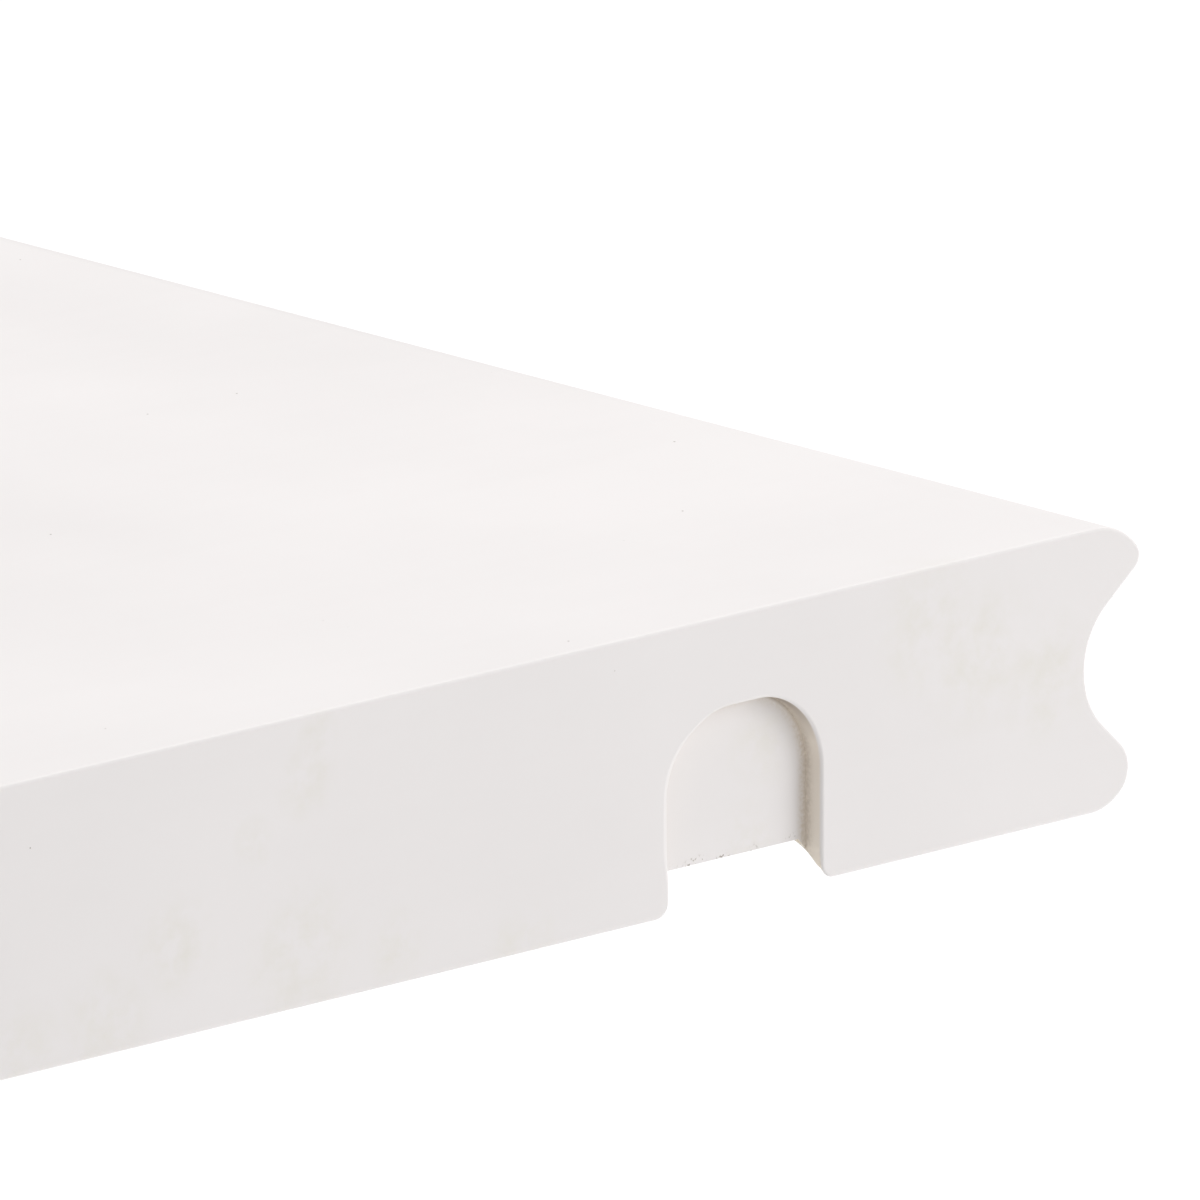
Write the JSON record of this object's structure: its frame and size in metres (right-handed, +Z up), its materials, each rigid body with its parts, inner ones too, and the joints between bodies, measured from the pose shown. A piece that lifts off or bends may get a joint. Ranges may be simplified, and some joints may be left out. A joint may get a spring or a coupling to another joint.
{
  "type": "floating wall shelf",
  "caption": "Thick painted wall shelf with a nosed and coved edge and arched seats in its back for hidden brackets, lifted off the brackets, which keep their screws and wall plugs.",
  "frame": {"origin": "centre of the board's flat back face, on the wall plane", "axes": "+X along the shelf's length, +Y into the wall, +Z up"},
  "size_m": [0.61, 0.2915, 0.1078],
  "materials": {
    "painted_wood": "satin white paint on solid wood",
    "zinc_plated_steel": "bright zinc plating",
    "nylon": "moulded matt"
  },
  "bodies": {
    "shelf": {"stave_back": "painted_wood", "stave_mid_back": "painted_wood", "stave_mid_front": "painted_wood", "stave_front": "painted_wood"},
    "wall_hardware": {"wall_bracket_left": "zinc_plated_steel", "wall_screw_left": "zinc_plated_steel", "wall_plug_left": "nylon", "fixing_screw_left_1": "zinc_plated_steel", "fixing_screw_left_2": "zinc_plated_steel", "fixing_screw_left_3": "zinc_plated_steel", "wall_bracket_right": "zinc_plated_steel", "wall_screw_right": "zinc_plated_steel", "wall_plug_right": "nylon", "fixing_screw_right_1": "zinc_plated_steel", "fixing_screw_right_2": "zinc_plated_steel", "fixing_screw_right_3": "zinc_plated_steel"}
  },
  "joints": [
    {"name": "lift_off", "type": "slide", "parent": "shelf", "child": "wall_hardware", "axis": [0, 0, 1], "range_m": [0, 0.07]}
  ]
}
